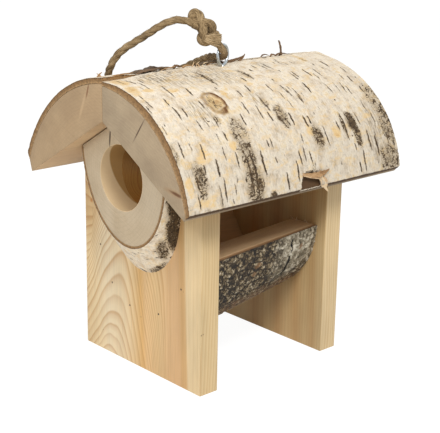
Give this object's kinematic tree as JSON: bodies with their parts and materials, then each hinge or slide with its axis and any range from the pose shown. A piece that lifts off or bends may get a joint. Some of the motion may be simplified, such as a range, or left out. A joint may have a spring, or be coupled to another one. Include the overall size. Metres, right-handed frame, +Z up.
{
  "type": "bird feeder house",
  "caption": "Rustic wooden bird feeder house with upright boards, a birch log roof with bark, a slanted log slice round the entrance hole, a half log trough and a rope loop.",
  "frame": {"origin": "on the floor, under the middle of the roof: midway along the ridge and under the ridge seam, which is 1.4 mm from the middle of the bounding box across", "axes": "+X across the boards, to the right of someone who faces the entrance; +Y from the entrance to the back along the ridge; +Z up"},
  "size_m": [0.2016, 0.23, 0.285],
  "materials": {
    "pine": "planed and untreated",
    "birch_wood": "sawn and weathered",
    "birch_bark": "rough",
    "galvanised_steel": "galvanised",
    "bright_steel": "dull",
    "jute_rope": "twisted natural fibre"
  },
  "bodies": {
    "root": {"front_board": "pine", "back_board": "pine", "roof_slab_left": "birch_wood", "roof_bark_left": "birch_bark", "roof_slab_right": "birch_wood", "roof_bark_right": "birch_bark", "entrance_block": "birch_wood", "entrance_bark": "birch_bark", "feed_trough": "birch_wood", "trough_bark": "birch_bark", "screw_eye": "galvanised_steel", "hanging_rope": "jute_rope", "rope_knot": "jute_rope", "front_trough_brads": "bright_steel", "back_trough_brads": "bright_steel", "left_roof_brads": "bright_steel", "right_roof_brads": "bright_steel", "entrance_brads": "bright_steel"}
  },
  "joints": []
}
